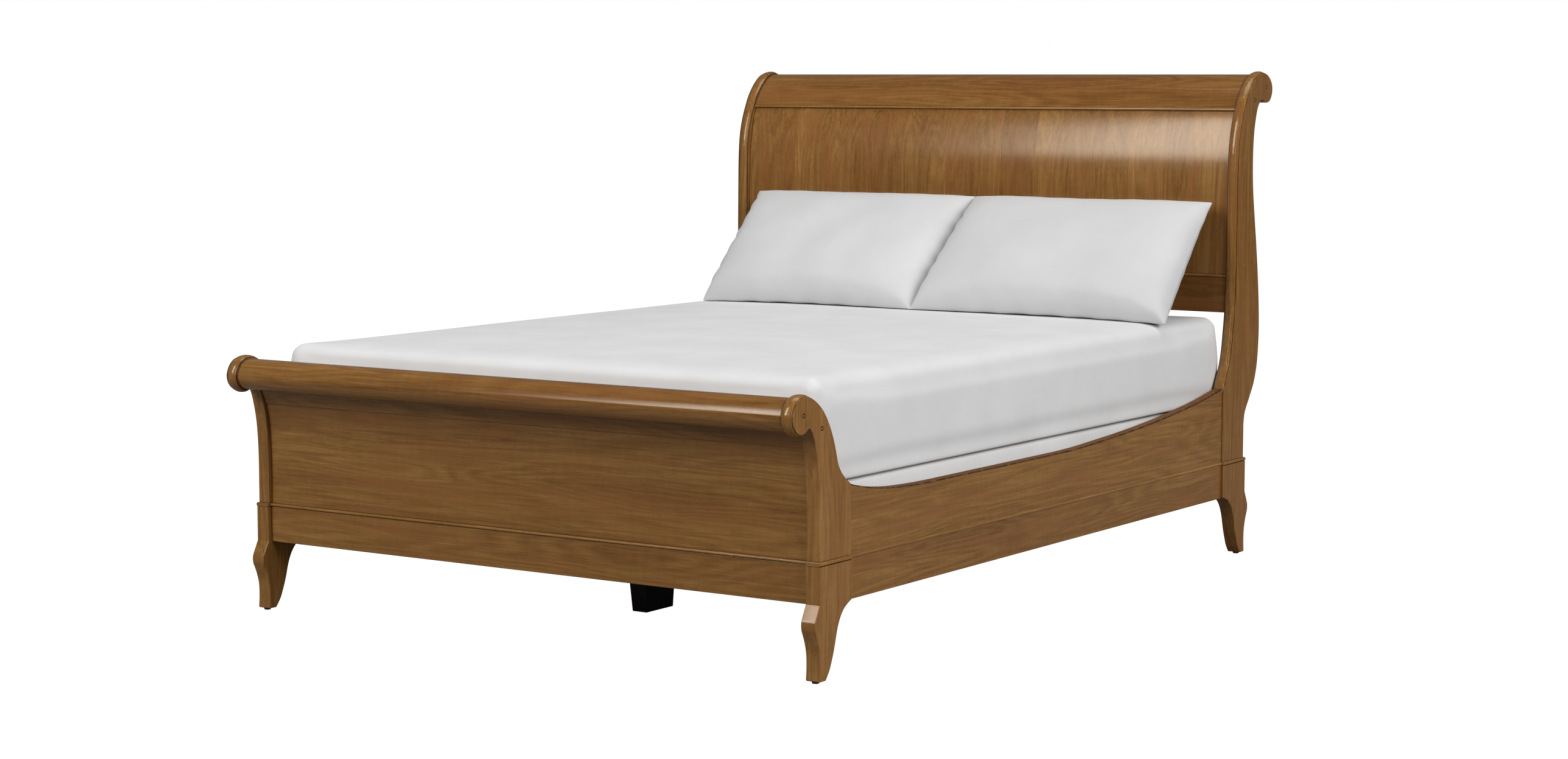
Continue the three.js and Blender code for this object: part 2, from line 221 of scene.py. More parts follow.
def lacqueredWood(name, along, start=(0, 0, 0), planks=False, tint=0.0, glazed=0.85, gloss=1.0):
    w = frameWood
    look, tree, shader = startMaterial(name)
    where = addNode(tree, "TexCoord").outputs["Object"]
    place = addNode(tree, "Mapping", {"Location": start, "Vector": where}).outputs[0]

    # let the grain lines wander
    wander = grain(tree, place, along, w["warp"], 2.0).outputs["Color"]
    wander = addNode(tree, "VectorMath", {"operation": "SUBTRACT", 0: wander, 1: (0.5, 0.5, 0.5)}).outputs[0]
    offset = addNode(tree, "VectorMath", {"operation": "SCALE", 0: wander, "Scale": w["warpBy"] * mm})
    bent = addNode(tree, "VectorMath", {"operation": "ADD", 0: place, 1: offset.outputs[0]}).outputs[0]
    if planks:
        # each plank of the panel is cut from another place in the tree
        across = addNode(tree, "SeparateXYZ", {0: bent}).outputs[0]
        count = addNode(tree, "Math", {"operation": "MULTIPLY", 0: across, 1: 1 / (w["plank"] * mm)})
        board = addNode(tree, "TexVoronoi", {"voronoi_dimensions": "1D", "Scale": 1.0, "W": count.outputs[0]})
        board = board.outputs["Color"]
        boardTone = addNode(tree, "SeparateColor", {0: board}).outputs[0]
        moved = addNode(tree, "VectorMath", {"operation": "SCALE", 0: board, "Scale": 3.0}).outputs[0]
        bent = addNode(tree, "VectorMath", {"operation": "ADD", 0: bent, 1: moved}).outputs[0]

    tone = grain(tree, bent, along, w["tone"], 1.5, 0.5).outputs[0]
    turns = 2 * math.pi * w["rings"] / 0.35      # a broad change is a swing of about 0.35 in the noise
    rings = addNode(tree, "Math", {"operation": "MULTIPLY", 0: tone, 1: turns}).outputs[0]
    rings = addNode(tree, "Math", {"operation": "SINE", 0: rings}).outputs[0]
    rings = addNode(tree, "Math", {"operation": "MULTIPLY", 0: rings, 1: 0.5}).outputs[0]
    rings = addNode(tree, "Math", {"operation": "ADD", 0: rings, 1: 0.5}).outputs[0]
    streak = grain(tree, bent, along, w["streak"], 5.0, 0.6).outputs[0]
    fibre = grain(tree, bent, along, w["fibre"], 2.0, 0.7).outputs[0]
    mottle = grain(tree, bent, along, w["mottle"], 2.0, 0.5).outputs[0]
    pore = grain(tree, bent, along, w["pore"], 1.0, 0.5).outputs[0]
    hue = grain(tree, bent, along, w["hue"], 3.0, 0.6).outputs[0]

    pairs = [(tone, w["toneShare"]), (rings, w["ringShare"]), (streak, w["streakShare"]),
             (fibre, w["fibreShare"]), (mottle, w["mottleShare"])]
    if planks:
        pairs.append((boardTone, w["plankShare"]))
    # the shift is wood tone, a painted highlight on the beads, and painted shade on the rail tops and the
    # headboard's lower rail
    shade = addNode(tree, "Math", {"operation": "ADD", 0: weighted(tree, *pairs), 1: tint}).outputs[0]
    stops = list(zip(w["shades"], (w["deep"], w["body"], w["pale"])))
    colour = addNode(tree, "ValToRGB", {"Fac": shade, "stops": stops}).outputs["Color"]
    redder = addNode(tree, "MapRange", {"Value": hue, "From Min": 0.48, "From Max": 0.66, "To Max": 0.6})
    colour = addNode(tree, "MixRGB", {"Fac": redder.outputs[0], "Color1": colour,
                                      "Color2": toLinear(w["reddish"])}).outputs[0]

    # open pores hold a little of the dark stain
    dark = toLinear(w["glaze"])
    stained = addNode(tree, "MapRange", {"Value": pore, "From Min": 0.63, "From Max": 0.72, "To Max": 0.3})
    colour = addNode(tree, "MixRGB", {"Fac": stained.outputs[0], "Color1": colour, "Color2": dark}).outputs[0]

    # small dark distress marks, in loose groups
    cells = addNode(tree, "TexVoronoi", {"Scale": 1 / (w["speck"] * mm), "Vector": place}).outputs["Distance"]
    group = addNode(tree, "TexNoise", {"Scale": 7.0, "Detail": 1.0, "Vector": place}).outputs[0]
    size = w["speckRadius"] / w["speck"]
    near = addNode(tree, "Math", {"operation": "LESS_THAN", 0: cells, 1: size}).outputs[0]
    grouped = addNode(tree, "Math", {"operation": "GREATER_THAN", 0: group, 1: 0.53}).outputs[0]
    mark = addNode(tree, "Math", {"operation": "MULTIPLY", 0: near, 1: grouped}).outputs[0]
    mark = addNode(tree, "Math", {"operation": "MULTIPLY", 0: mark, 1: 0.75}).outputs[0]
    colour = addNode(tree, "MixRGB", {"Fac": mark, "Color1": colour, "Color2": dark}).outputs[0]

    # glaze left in corners and joints, drawn from ambient occlusion, so it is painted shade as well: corners
    # and joints darken where neighbouring wood shades them
    if glazed:
        corner = addNode(tree, "AmbientOcclusion", {"samples": 8, "Distance": w["glazeAndShadeReach"] * mm})
        left = addNode(tree, "Math", {"operation": "SUBTRACT", 0: 1.0, 1: corner.outputs["AO"]}).outputs[0]
        left = addNode(tree, "Math", {"operation": "MULTIPLY", 0: left, 1: 1.2}).outputs[0]
        left = addNode(tree, "Math", {"operation": "MINIMUM", 0: left, 1: 1.0}).outputs[0]
        left = addNode(tree, "Math", {"operation": "POWER", 0: left, 1: 1.7}).outputs[0]
        left = addNode(tree, "Math", {"operation": "MULTIPLY", 0: left, 1: glazed}).outputs[0]
        colour = addNode(tree, "MixRGB", {"Fac": left, "Color1": colour, "Color2": dark}).outputs[0]
    tree.links.new(colour, shader.inputs["Base Color"])

    rough = addNode(tree, "Math", {"operation": "MULTIPLY", 0: mottle, 1: w["satinFigure"]}).outputs[0]
    rough = addNode(tree, "Math", {"operation": "ADD", 0: rough, 1: w["satin"] / gloss}).outputs[0]
    tree.links.new(rough, shader.inputs["Roughness"])
    shader.inputs["IOR"].default_value = 1.5
    shader.inputs["Specular Tint"].default_value = w["lacquer"]
    shader.inputs["Specular IOR Level"].default_value = 0.5 * gloss

    swell = grain(tree, place, along, w["swell"], 1.0).outputs[0]
    flow = addNode(tree, "Bump", {"Height": swell, "Strength": 0.35, "Distance": 0.5 * mm}).outputs[0]
    ridges = addNode(tree, "Math", {"operation": "MULTIPLY", 0: fibre, 1: 0.5}).outputs[0]
    pits = addNode(tree, "Math", {"operation": "MULTIPLY", 0: pore, 1: -0.5}).outputs[0]
    depth = addNode(tree, "Math", {"operation": "ADD", 0: ridges, 1: pits}).outputs[0]
    skin = addNode(tree, "Bump", {"Height": depth, "Normal": flow, "Strength": 0.12, "Distance": 0.3 * mm})
    tree.links.new(skin.outputs[0], shader.inputs["Normal"])
    return look


def glazeAndShadeLine(name, worn):
    # dark glaze left along a quirk or an arris, rubbed through in places; on the quirks and round the plugs
    # it is also painted shade in the groove and the pocket
    look, tree, shader = startMaterial(name)
    where = addNode(tree, "TexCoord").outputs["Object"]
    patchy = addNode(tree, "TexNoise", {"Scale": 1 / (18 * mm), "Detail": 4.0, "Roughness": 0.65,
                                        "Vector": where}).outputs[0]
    stops = [(0.5 - worn, "1a0f07"), (0.62 - worn, "3a2411"), (0.8 - worn, "7a5227")]
    colour = addNode(tree, "ValToRGB", {"Fac": patchy, "stops": stops}).outputs["Color"]
    tree.links.new(colour, shader.inputs["Base Color"])
    shader.inputs["Roughness"].default_value = 0.4
    shader.inputs["Specular Tint"].default_value = frameWood["lacquer"]
    return look


def plainWood(name, deep, pale, rough, along):
    # planed softwood or dark stain, with no lacquer on it: dull, with a fine ribbed grain
    look, tree, shader = startMaterial(name)
    where = addNode(tree, "TexCoord").outputs["Object"]
    streak = grain(tree, where, along, (380, 12), 4.0, 0.6).outputs[0]
    fibre = grain(tree, where, along, (60, 2), 2.0, 0.7).outputs[0]
    shade = weighted(tree, (streak, 1.2), (fibre, 0.5))
    colour = addNode(tree, "ValToRGB", {"Fac": shade, "stops": [(0.3, deep), (0.7, pale)]}).outputs["Color"]
    tree.links.new(colour, shader.inputs["Base Color"])
    shader.inputs["Roughness"].default_value = rough
    pores = addNode(tree, "Bump", {"Height": fibre, "Strength": 0.2, "Distance": 0.4 * mm})
    tree.links.new(pores.outputs[0], shader.inputs["Normal"])
    return look


def cotton(name, colour, shaded, threadMm, sheen):
    # plain woven cotton: white and dull, with a little bloom at grazing angles
    look, tree, shader = startMaterial(name)
    where = addNode(tree, "TexCoord").outputs["Object"]
    # the thread is drawn a few times as coarse as the real one so that it shows
    thread = addNode(tree, "TexNoise", {"Scale": 1 / (threadMm * mm), "Detail": 1.0, "Vector": where})
    thread = thread.outputs[0]
    cloud = addNode(tree, "TexNoise", {"Scale": 6.0, "Detail": 4.0, "Vector": where}).outputs[0]
    mixed = weighted(tree, (cloud, 0.9), (thread, 0.25))
    stops = [(0.3, shaded), (0.7, colour)]
    white = addNode(tree, "ValToRGB", {"Fac": mixed, "stops": stops}).outputs["Color"]
    tree.links.new(white, shader.inputs["Base Color"])
    shader.inputs["Roughness"].default_value = 0.92
    shader.inputs["Specular IOR Level"].default_value = 0.2
    shader.inputs["Sheen Weight"].default_value = sheen
    shader.inputs["Sheen Roughness"].default_value = 0.5
    # the weave and the soft creases of washed cloth
    soft = addNode(tree, "TexNoise", {"Scale": 13.0, "Detail": 3.0, "Vector": where}).outputs[0]
    weave = addNode(tree, "Math", {"operation": "MULTIPLY", 0: thread, 1: 0.12}).outputs[0]
    creases = addNode(tree, "Math", {"operation": "MULTIPLY", 0: soft, 1: 1.4}).outputs[0]
    height = addNode(tree, "Math", {"operation": "ADD", 0: weave, 1: creases}).outputs[0]
    bump = addNode(tree, "Bump", {"Height": height, "Strength": 0.3, "Distance": 1.5 * mm})
    tree.links.new(bump.outputs[0], shader.inputs["Normal"])
    return look


def zincPlate():
    # pressed steel, zinc plated: a grey metal with cloudy crystals
    look, tree, shader = startMaterial("zincPlatedSteel")
    where = addNode(tree, "TexCoord").outputs["Object"]
    spangle = addNode(tree, "TexVoronoi", {"Scale": 1 / (6 * mm), "Vector": where}).outputs["Distance"]
    stops = [(0, "8b8d90"), (1, "a9abad")]
    colour = addNode(tree, "ValToRGB", {"Fac": spangle, "stops": stops}).outputs["Color"]
    tree.links.new(colour, shader.inputs["Base Color"])
    shader.inputs["Metallic"].default_value = 1.0
    shader.inputs["Roughness"].default_value = 0.42
    return look


def mouldedNylon():
    # black nylon, moulded with a fine sparked texture
    look, tree, shader = startMaterial("blackNylon")
    where = addNode(tree, "TexCoord").outputs["Object"]
    spark = addNode(tree, "TexNoise", {"Scale": 1 / (1.2 * mm), "Detail": 2.0, "Vector": where}).outputs[0]
    stops = [(0, "141414"), (1, "232222")]
    colour = addNode(tree, "ValToRGB", {"Fac": spark, "stops": stops}).outputs["Color"]
    tree.links.new(colour, shader.inputs["Base Color"])
    shader.inputs["Roughness"].default_value = 0.6
    bump = addNode(tree, "Bump", {"Height": spark, "Strength": 0.3, "Distance": 0.2 * mm})
    tree.links.new(bump.outputs[0], shader.inputs["Normal"])
    return look


# the quirks and plug pockets: glaze plus painted shade
glaze = glazeAndShadeLine("darkGlazeAndPaintedShade", 0.0)
wornGlaze = glazeAndShadeLine("wornGlaze", 0.12)
steel = zincPlate()
nylon = mouldedNylon()
slatPine = plainWood("planedPine", "b08a58", "d2b27f", 0.7, "x")
cleatPine = plainWood("planedPineCleat", "a98452", "caa873", 0.7, "y")
darkLeg = plainWood("darkStainedWood", "0d0704", "1d110a", 0.5, "z")
postLooks = {
    "left": lacqueredWood("lacqueredPostLeft", "z", (3.1, 0.4, 1.7)),
    "right": lacqueredWood("lacqueredPostRight", "z", (7.7, 2.9, 0.3), tint=0.02),
}
print("materials are made")


# frame: each wooden piece is a copy of its part of the frame with its edges worked

def pick(piece):
    bpy.ops.object.select_all(action="DESELECT")
    bpy.context.view_layer.objects.active = piece
    piece.select_set(True)


def copyOf(node, name):
    piece = bpy.data.objects.new(name, nodes[node].data.copy())
    bpy.context.scene.collection.objects.link(piece)
    piece.data.materials.clear()
    pick(piece)
    bpy.ops.object.mode_set(mode="EDIT")
    bpy.ops.mesh.select_all(action="SELECT")
    bpy.ops.mesh.remove_doubles(threshold=0.01 * mm)
    bpy.ops.mesh.dissolve_limited(angle_limit=math.radians(0.2))
    bpy.ops.object.mode_set(mode="OBJECT")
    return piece


def easeEdges(piece, width, steps, test=None, sharper=26, slot=0):
    # rounds the sharp edges that pass the test, and gives the rounding a material slot
    pick(piece)
    bpy.ops.object.mode_set(mode="EDIT")
    bpy.ops.mesh.select_mode(type="EDGE")
    bpy.ops.mesh.select_all(action="DESELECT")
    body = bmesh.from_edit_mesh(piece.data)
    for edge in body.edges:
        if len(edge.link_faces) != 2 or edge.calc_face_angle() < math.radians(sharper):
            continue
        middle = (edge.verts[0].co + edge.verts[1].co) / 2
        edge.select_set(test is None or test(middle, edge))
    bmesh.update_edit_mesh(piece.data)
    bpy.ops.mesh.bevel(offset=width * mm, segments=steps, affect="EDGES", clamp_overlap=True)
    if slot:
        for face in bmesh.from_edit_mesh(piece.data).faces:
            if face.select:
                face.material_index = slot
        bmesh.update_edit_mesh(piece.data)
    bpy.ops.object.mode_set(mode="OBJECT")


def finishPiece(piece, node, look, *others, slot="frame_wood"):
    # smooth shading with even normals, then its place in the frame
    for material in (look, *others):
        if material.name not in piece.data.materials:
            piece.data.materials.append(material)
    pick(piece)
    bpy.ops.object.shade_smooth_by_angle(angle=math.radians(30))
    weigh = piece.modifiers.new("evenNormals", "WEIGHTED_NORMAL")
    weigh.keep_sharp = True
    bpy.ops.object.modifier_apply(modifier=weigh.name)
    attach(piece, "frame")
    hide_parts(node)


# posts: sawn to an S, with a crowned band along the front edge and a dark quirk on both sides of it

postWork = {
    "crown": 4.6,        # mm the band stands proud of the sawn outline
    "crownSteps": 12,
    "ease": 0.9,         # radius of the arrises
    "crownPower": 2.5,   # how full the band's round is
    "quirk": 1.7,        # width of the groove beside the band
    "quirkDeep": 1.5,
    "quirkWall": 0.3,    # how far a wall of the groove leans
    "outerEdge": 1.1,    # wood left outside the groove
    "innerEdge": 0.8,    # and on the panel's side
    "chamfer": 0.3,      # share of the ease that the arris is cut back by
    "spacing": 4.0,
    # where the band starts and ends: mm back from the front, down from the top, and faded over
    "run": {"foot": ((72, 0, 42), (66, 79, 10)), "head": ((240, 0, 24), (2, 884, 6))},
    "plug": 3.9,
    "pocket": 5.5,
    "pocketDeep": 10.2,
    "slotHalf": 4,       # clearance for the rail hook
    "slotDeep": 12,
    "slotLow": 285,
    "slotHigh": 320,
}
ends = ("foot", "head")
sides = {"left": -1, "right": 1}


def sideOutline(node):
    # the outline of a piece seen from the right, as (y, z) points
    body = bmesh.new()
    body.from_mesh(nodes[node].data)
    bmesh.ops.remove_doubles(body, verts=body.verts, dist=0.01 * mm)
    reach = max(vertex.co.x for vertex in body.verts) - 0.1 * mm
    flat = {face for face in body.faces if face.normal.x > 0.999 and face.calc_center_median().x > reach}
    onward = {}
    for face in flat:
        for corner in face.loops:
            if sum(other in flat for other in corner.edge.link_faces) == 1:
                onward[corner.vert] = corner.link_loop_next.vert
    outlines = []
    while onward:
        first, vertex = onward.popitem()
        points = [first.co.yz, vertex.co.yz]
        while vertex in onward:
            vertex = onward.pop(vertex)
            points.append(vertex.co.yz)
        outlines.append([point.copy() for point in points[:-1]])
    body.free()
    outline = max(outlines, key=len)
    area = sum(a.x * b.y - b.x * a.y for a, b in zip(outline, outline[1:] + outline[:1]))
    return outline if area > 0 else outline[::-1]


def spaced(outline, spacing):
    points = []
    for a, b in zip(outline, outline[1:] + outline[:1]):
        parts = max(1, math.ceil((b - a).length / spacing))
        points += [a.lerp(b, i / parts) for i in range(parts)]
    return points


def inwardNormals(points):
    # left of the direction of travel, lengthened at corners so that offsets stay parallel
    result = []
    for before, here, after in zip(points[-1:] + points[:-1], points, points[1:] + points[:1]):
        a = (here - before).normalized()
        b = (after - here).normalized()
        normal = Vector((-a.y - b.y, a.x + b.x)).normalized()
        cosine = normal.x * -b.y + normal.y * b.x
        result.append(normal / max(cosine, 0.5))
    return result


def bandShare(end, points, low, high):
    # 1 where the band runs and 0 elsewhere, with a soft change between
    walk = [0.0]         # length of the outline up to each point
    for a, b in zip(points, points[1:] + points[:1]):
        walk.append(walk[-1] + (b - a).length)
    around = walk.pop()
    places = []
    for back, down, fade in postWork["run"][end]:
        mark = Vector((low.y + back * mm, high.z - down * mm))
        nearest = min(range(len(points)), key=lambda i: (points[i] - mark).length)
        places.append((walk[nearest], fade * mm))
    (first, fadeIn), (last, fadeOut) = places
    long = (last - first) % around
    shares = []
    for at in walk:
        ahead = (at - first) % around
        share = 1.0
        if ahead > long:
            share = max(0.0, 1 - (ahead - long) / fadeOut, 1 - (around - ahead) / fadeIn)
        shares.append(share * share * (3 - 2 * share))
    return shares


def postSection(wide, share):
    # across the thickness: (depth from the outer face, how far inside the outline, dark or not), the dark
    # faces taking glaze and painted shade of the groove
    w = postWork
    ease, edge, lean = w["ease"], w["outerEdge"], w["quirkWall"]
    cut = ease * w["chamfer"]
    deep = w["quirkDeep"] * share
    start = edge + w["quirk"]
    end = wide - w["quirk"] - w["innerEdge"]
    section = [(0, ease, 0), (cut, cut, 0), (edge, 0, 0),
               (edge + lean, deep, 1), (start - lean, deep, 1), (start, 0, 1)]
    for k in range(1, w["crownSteps"]):
        turn = 2 * k / w["crownSteps"] - 1
        proud = w["crown"] * share * (1 - abs(turn) ** w["crownPower"])
        section.append((start + (end - start) * (turn + 1) / 2, -proud, 0))
    section += [(end, 0, 0), (end + lean, deep, 1),
                (wide - cut, max(deep, cut), 1), (wide, max(deep, ease), 1)]
    return section


def shapePost(name, node, end, side):
    # the section is set out square to the outline at every point, and the ends are closed flat
    low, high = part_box(node)
    wide = (high.x - low.x) / mm
    points = spaced(sideOutline(node), postWork["spacing"] * mm)
    normals = inwardNormals(points)
    shares = bandShare(end, points, low, high)
    outerX = high.x if side > 0 else low.x
    body = bmesh.new()
    columns = []
    for point, normal, share in zip(points, normals, shares):
        column = []
        for depth, inset, _ in postSection(wide, share):
            at = point + normal * inset * mm
            column.append(body.verts.new((outerX - side * depth * mm, at.x, at.y)))
        columns.append(column)
    dark = [part[2] for part in postSection(wide, 1)]
    for i, column in enumerate(columns):
        other = columns[(i + 1) % len(columns)]
        for k in range(len(column) - 1):
            face = body.faces.new((column[k], other[k], other[k + 1], column[k + 1]))
            # the groove's faces take the dark material: glaze plus painted shade of the groove
            if dark[k + 1] and shares[i] > 0.1:
                face.material_index = 1
    body.faces.new([column[0] for column in columns])
    body.faces.new([column[-1] for column in columns])
    bmesh.ops.recalc_face_normals(body, faces=body.faces)
    mesh = bpy.data.meshes.new(name)
    body.to_mesh(mesh)
    body.free()
    piece = bpy.data.objects.new(name, mesh)
    bpy.context.scene.collection.objects.link(piece)
    return piece


def cutAway(piece, tool):
    pick(piece)
    cut = piece.modifiers.new("cut", "BOOLEAN")
    cut.operation = "DIFFERENCE"
    cut.solver = "EXACT"
    cut.object = tool
    bpy.ops.object.modifier_apply(modifier=cut.name)
    bpy.data.objects.remove(tool)


def addPosts():
    w = postWork
    for end in ends:
        for sideName, side in sides.items():
            node = f"{end}board_post_{sideName}"
            low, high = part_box(node)
            piece = shapePost(f"{end}Post{sideName.capitalize()}", node, end, side)
            piece.data.materials.append(postLooks[sideName])
            piece.data.materials.append(glaze)
            outerX = high.x if side > 0 else low.x
            for number in (1, 2):
                middle = plugMiddle(end, sideName, number)
                bpy.ops.object.select_all(action="DESELECT")
                bpy.ops.mesh.primitive_cylinder_add(
                    vertices=32, radius=w["pocket"] * mm, depth=w["pocketDeep"] * 2 * mm,
                    location=(outerX, middle.y, middle.z), rotation=(0, math.radians(90), 0))
                cutAway(piece, bpy.context.object)
            # the slot that the rail hook drops into
            jointY = high.y if end == "foot" else low.y
            hookLow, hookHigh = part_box(f"rail_hook_{end}_{sideName}")
            slotMiddle = ((hookLow.x + hookHigh.x) / 2, jointY, (w["slotLow"] + w["slotHigh"]) / 2 * mm)
            slotSize = (2 * w["slotHalf"] * mm, 2 * w["slotDeep"] * mm, (w["slotHigh"] - w["slotLow"]) * mm)
            bpy.ops.object.select_all(action="DESELECT")
            bpy.ops.mesh.primitive_cube_add(size=1, location=slotMiddle, scale=slotSize)
            cutAway(piece, bpy.context.object)
            # the pocket walls round each plug are painted dark: painted shade of the narrow gap
            for face in piece.data.polygons:
                if abs(face.center.x) < abs(outerX) - 0.2 * mm and plugNear(face.center, end, sideName):
                    face.material_index = 1
            finishPiece(piece, node, postLooks[sideName], glaze)


def plugMiddle(end, sideName, number):
    low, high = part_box(f"{end}board_plug_{sideName}_{number}")
    return (low + high) / 2


def plugNear(centre, end, sideName):
    for number in (1, 2):
        away = centre - plugMiddle(end, sideName, number)
        if away.yz.length < (postWork["pocket"] + 0.3) * mm and abs(away.x) < 8 * mm:
            return True
    return False


def addPlugs():
    for end in ends:
        for sideName, side in sides.items():
            for number in (1, 2):
                node = f"{end}board_plug_{sideName}_{number}"
                low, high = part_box(node)
                bpy.ops.object.select_all(action="DESELECT")
                bpy.ops.mesh.primitive_cylinder_add(
                    vertices=32, radius=postWork["plug"] * mm, depth=high.x - low.x,
                    location=plugMiddle(end, sideName, number), rotation=(0, math.radians(90), 0))
                plug = bpy.context.object
                plug.name = f"{end}Plug{sideName.capitalize()}{number}"
                bpy.ops.object.transform_apply(location=True, rotation=True, scale=True)
                easeEdges(plug, 0.5, 2)
                # the plug's sides take the dark material: painted shade, as they sit in the shaded pocket
                for face in plug.data.polygons:
                    face.material_index = 0 if face.normal.x * side > 0.99 else 1
                finishPiece(plug, node, plugLook, glaze)


plugLook = lacqueredWood("lacqueredPlug", "z", (4.4, 1.2, 0.6), tint=0.1, glazed=0)
addPosts()
addPlugs()
print("posts are made")


legWork = {
    "ease": 2.4,
    "steps": 3,
    "collarEase": 1.6,
    "glideEase": 0.8,
    "facet": (146, 178),   # heights of the ends of the flat facet on the knee
    "collarLow": 0.262,    # the arris stops where the collar starts
}


def addLegs():
    for end in ends:
        for side in sides:
            leg = copyOf(f"{end}_leg_{side}", f"{end}Leg{side.capitalize()}")
            easeEdges(leg, legWork["ease"], legWork["steps"], isLegArris)
            creaseKnee(leg)
            finishPiece(leg, f"{end}_leg_{side}", postLooks[side])

            collar = copyOf(f"{end}_collar_{side}", f"{end}Collar{side.capitalize()}")
            easeEdges(collar, legWork["collarEase"], 3)
            finishPiece(collar, f"{end}_collar_{side}", collarLook)

            glide = copyOf(f"{end}_glide_{side}", f"{end}Glide{side.capitalize()}")
            easeEdges(glide, legWork["glideEase"], 2)
            finishPiece(glide, f"{end}_glide_{side}", nylon, slot="glide_plastic")


def isLegArris(middle, edge):
    # between a side face and the rim, and not against the collar
    onSide = max(abs(face.normal.x) for face in edge.link_faces) > 0.99
    return onSide and middle.z < legWork["collarLow"]


def creaseKnee(leg):
    # keeps the upper and lower ends of the flat facet on the knee crisp
    for edge in leg.data.edges:
        a, b = (leg.data.vertices[i].co for i in edge.vertices)
        level = (a.z + b.z) / 2
        atFacet = min(abs(level - height * mm) for height in legWork["facet"]) < 1.3 * mm
        across = abs(a.z - b.z) < 0.7 * (a - b).length
        if atFacet and across and min(abs(a.y), abs(b.y)) > 1.06:
            edge.use_edge_sharp = True


collarLook = lacqueredWood("lacqueredCollar", "x", (1.3, 5.1, 2.2), tint=0.06, glazed=0.4)
addLegs()
print("legs are made")


boards = {
    # node: (edge rounding in mm, steps, lighter by, share of glaze and painted corner shade); the shift in
    # lightness is wood tone, and on some rows painted light
    "footboard_roll": (1.0, 2, 0.0, 0.85),
    "footboard_cove": (0.8, 2, -0.06, 0.6),
    "footboard_panel": (0.8, 2, 0.0, 0.85),
    # the bead below is lighter as a painted highlight
    "footboard_bead": (0.4, 1, 0.1, 0),
    "footboard_apron": (1.6, 3, 0.0, 0.85),
    "headboard_crest_rail": (1.0, 2, -0.12, 0.85),
    # the beads below are lighter as a painted highlight, and the lower rail darker as painted shadow of the
    # pillows
    "headboard_crest_bead": (0.4, 1, 0.1, 0),
    "headboard_panel": (0.8, 2, 0.0, 0.85),
    "headboard_lower_bead": (0.4, 1, 0.12, 0),
    "headboard_lower_rail": (1.4, 3, -0.22, 0.85),
    "headboard_stretcher": (1.6, 3, 0.0, 0.85),
}


def camelName(node):
    first, *rest = node.split("_")
    return first + "".join(word.capitalize() for word in rest)


def addBoards():
    for number, (node, (width, steps, tint, glazed)) in enumerate(boards.items()):
        piece = copyOf(node, camelName(node))
        easeEdges(piece, width, steps)
        upright = node == "headboard_panel"
        start = (number * 1.37, number * 0.61, number * 0.83)
        name = camelName("lacquered_" + node)
        look = lacqueredWood(name, "z" if upright else "x", start, upright, tint, glazed)
        finishPiece(piece, node, look)


addBoards()
print("boards are made")


railWork = {
    "worn": 3.2,         # width of the rubbed line along the top arris
    "wornSteps": 3,
    "ease": 1.4,
    "inner": 20,         # what lies this far in from the outer face is eased too
    "hookEase": 0.4,
    "cleatEase": 1.5,
}


def addRails():
    w = railWork
    for number, sideName in enumerate(sides):
        start = (number * 2.3 + 0.4, 1.1, 0.9)
        look = lacqueredWood(f"lacqueredRail{sideName.capitalize()}", "y", start)
        shadedTopLook = lacqueredWood(f"lacqueredRailTop{sideName.capitalize()}", "y", start, tint=-0.24, gloss=0.2)
        # the bead is lighter all over: a painted highlight on its round
        highlightBeadLook = lacqueredWood(f"lacqueredRailBead{sideName.capitalize()}", "y", start, tint=0.1, glazed=0)
        rail = copyOf(f"side_rail_{sideName}", f"sideRail{sideName.capitalize()}")
        outerX = max(abs(v.co.x) for v in rail.data.vertices)

        def topArris(middle, edge):
            above = max(face.normal.z for face in edge.link_faces) > 0.6
            lengthways = abs(edge.verts[0].co.y - edge.verts[1].co.y) > 1 * mm
            return above and lengthways and abs(middle.x) > outerX - 0.5 * mm

        def otherArris(middle, edge):
            return middle.z < 0.18 or abs(middle.x) < outerX - w["inner"] * mm

        easeEdges(rail, w["worn"], w["wornSteps"], topArris, slot=2)
        # top faces take a darker copy of the lacquer: painted shade from the mattress above
        for face in rail.data.polygons:
            if face.normal.z > 0.8 and face.center.z > 0.39 and face.material_index == 0:
                face.material_index = 1
        easeEdges(rail, w["ease"], 2, otherArris)
        finishPiece(rail, f"side_rail_{sideName}", look, shadedTopLook, wornGlaze)

        bead = copyOf(f"side_rail_bead_{sideName}", f"sideRailBead{sideName.capitalize()}")
        finishPiece(bead, f"side_rail_bead_{sideName}", highlightBeadLook)

        cleat = copyOf(f"slat_cleat_{sideName}", f"slatCleat{sideName.capitalize()}")
        easeEdges(cleat, w["cleatEase"], 2)
        finishPiece(cleat, f"slat_cleat_{sideName}", cleatPine, slot="support_wood")

        for end in ends:
            node = f"rail_hook_{end}_{sideName}"
            hook = copyOf(node, camelName(node))
            easeEdges(hook, w["hookEase"], 1)
            finishPiece(hook, node, steel, slot="hook_steel")


addRails()


supportWork = {"slatEase": 2.5, "legEase": 2.0}


def addSupports():
    for number in range(1, 6):
        slat = copyOf(f"slat_{number}", f"slat{number}")
        easeEdges(slat, supportWork["slatEase"], 3)
        finishPiece(slat, f"slat_{number}", slatPine, slot="support_wood")
    for number in range(1, 4):
        leg = copyOf(f"centre_leg_{number}", f"centreLeg{number}")
        easeEdges(leg, supportWork["legEase"], 3)
        finishPiece(leg, f"centre_leg_{number}", darkLeg, slot="centre_leg_wood")


addSupports()
print("rails, slats and centre legs are made")


# soft pieces

